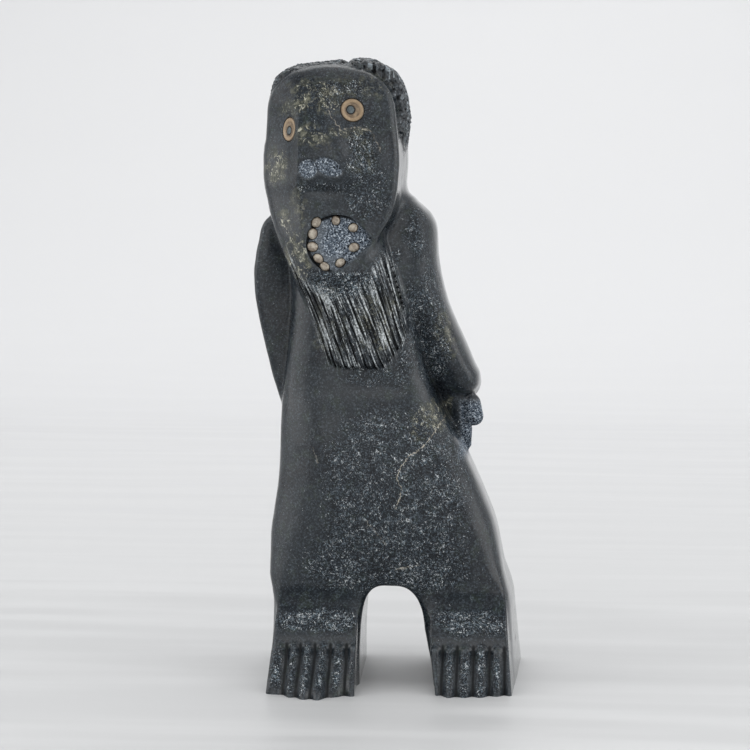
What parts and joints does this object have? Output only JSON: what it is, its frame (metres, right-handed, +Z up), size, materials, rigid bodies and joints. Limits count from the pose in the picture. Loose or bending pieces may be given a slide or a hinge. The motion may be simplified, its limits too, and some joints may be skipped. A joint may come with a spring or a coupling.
{
  "type": "carved stone figure",
  "caption": "Standing bearded figure carved from one block of dark stone, hands behind its hips, with inlaid ring eyes and peg teeth in a round open mouth. A display sculpture.",
  "frame": {"origin": "centre of the overall box in plan, at the level of the floor under the feet", "axes": "+Z up the figure; the figure faces -Y; +X is the figure's own left, the viewer's right"},
  "size_m": [0.1456, 0.1132, 0.3389],
  "materials": {
    "dark_stone": "hand-polished dark grey-green stone, tooled in the hair, beard, hands and toes",
    "antler": "tan antler slice, satin",
    "pupil_stone": "grey-green stone peg, dull",
    "tooth_ivory": "off-white bone peg, satin"
  },
  "bodies": {
    "root": {"stone_figure": "dark_stone", "eye_ring_near": "antler", "eye_ring_far": "antler", "pupil_near": "pupil_stone", "pupil_far": "pupil_stone", "tooth_1": "tooth_ivory", "tooth_2": "tooth_ivory", "tooth_3": "tooth_ivory", "tooth_4": "tooth_ivory", "tooth_5": "tooth_ivory", "tooth_6": "tooth_ivory", "tooth_7": "tooth_ivory", "tooth_8": "tooth_ivory", "tooth_9": "tooth_ivory"}
  },
  "joints": []
}
